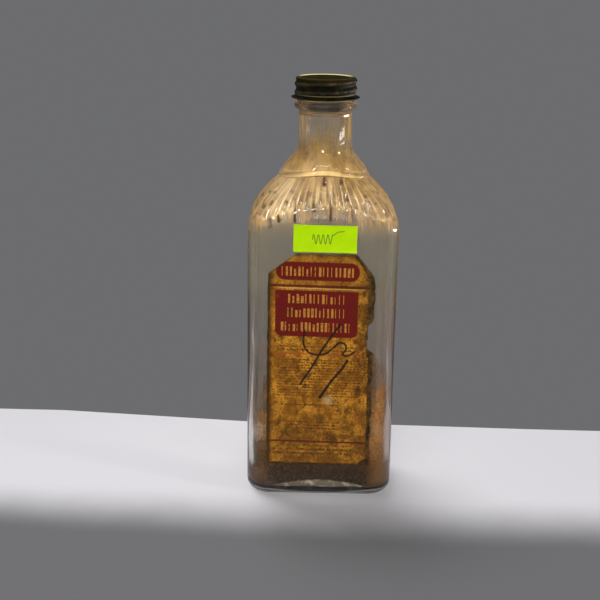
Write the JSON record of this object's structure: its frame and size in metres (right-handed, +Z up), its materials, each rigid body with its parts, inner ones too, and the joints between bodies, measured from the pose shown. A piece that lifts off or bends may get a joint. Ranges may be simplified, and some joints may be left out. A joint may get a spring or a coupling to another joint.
{
  "type": "medicine bottle",
  "caption": "Rectangular clear glass flask with a fluted shoulder, raised ring, round neck, threaded metal cap with a liner, paper label and dried residue inside.",
  "frame": {"origin": "middle of the plane the bottle stands on", "axes": "+X across the front panel to the right, -Y out of the front panel with the label, +Z up the neck"},
  "size_m": [0.0776, 0.0501, 0.2201],
  "materials": {
    "clear_glass": "clear glass, slightly grey, smooth",
    "cap_metal": "dark aged lacquer over tinplate, worn at the edges",
    "pulpboard": "matt pulpboard",
    "waxed_facing": "waxed, satin",
    "label_paper": "aged varnished paper, stained",
    "sticker_paper": "fluorescent matt paper",
    "residue": "dried, cracked, matt"
  },
  "bodies": {
    "bottle": {"glass_bottle": "clear_glass", "front_label": "label_paper", "price_sticker": "sticker_paper", "dried_residue": "residue"},
    "liner": {"liner_board": "pulpboard", "liner_facing": "waxed_facing"},
    "cap": {"cap_shell": "cap_metal"}
  },
  "joints": [
    {"name": "cap_rise", "type": "slide", "parent": "bottle", "child": "liner", "axis": [0, 0, 1], "range_m": [0, 0.0127]},
    {"name": "cap_turn", "type": "hinge", "parent": "liner", "child": "cap", "pos_m": [0, 0, 0.21], "axis": [0, 0, 1], "range_deg": [0, 1080]}
  ],
  "couplings": [
    {"joint": "cap_rise", "follows": "cap_turn", "m_per_rad": 0.0006737}
  ]
}
